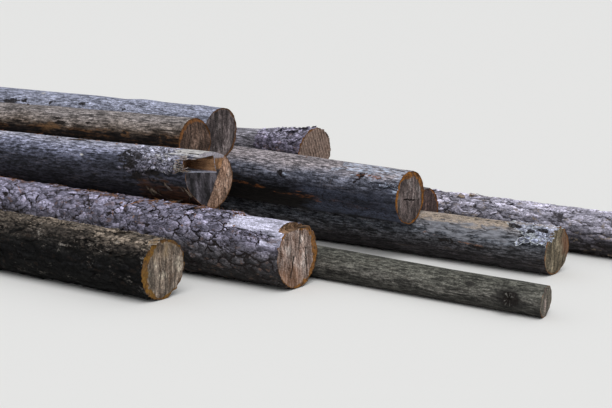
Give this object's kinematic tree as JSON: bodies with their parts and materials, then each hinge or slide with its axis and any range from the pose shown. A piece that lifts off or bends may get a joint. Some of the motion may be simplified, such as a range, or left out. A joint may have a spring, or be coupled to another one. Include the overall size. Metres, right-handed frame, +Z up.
{
  "type": "stack of logs",
  "caption": "Low stack of round sawlogs lying side by side and settled into each other's valleys, some with bark and some bare, stored as raw stock for sawing.",
  "frame": {"origin": "centre of the bounding box at ground level", "axes": "+X along the logs towards their sawn butt ends, +Y from the front of the stack to its back, +Z up"},
  "size_m": [5.3198, 2.2242, 0.7219],
  "materials": {
    "bare_wood": "weathered debarked log surface, matt",
    "bark": "rough scaly bark, matt",
    "cut_end": "sawn end grain, weathered, matt"
  },
  "bodies": {
    "root": {"stepped_front_log": "bark", "outer_front_log": "bark", "notched_log": "bare_wood", "long_upper_log": "bare_wood", "top_front_log": "bare_wood", "top_rear_log": "bare_wood", "flared_rear_log": "bark", "ragged_end_log": "bark", "long_rear_log": "bark", "dark_rear_log": "bark", "thin_pole": "bare_wood", "hidden_ground_log_front": "bare_wood", "hidden_ground_log_middle": "bare_wood", "hidden_upper_log": "bare_wood"}
  },
  "joints": []
}
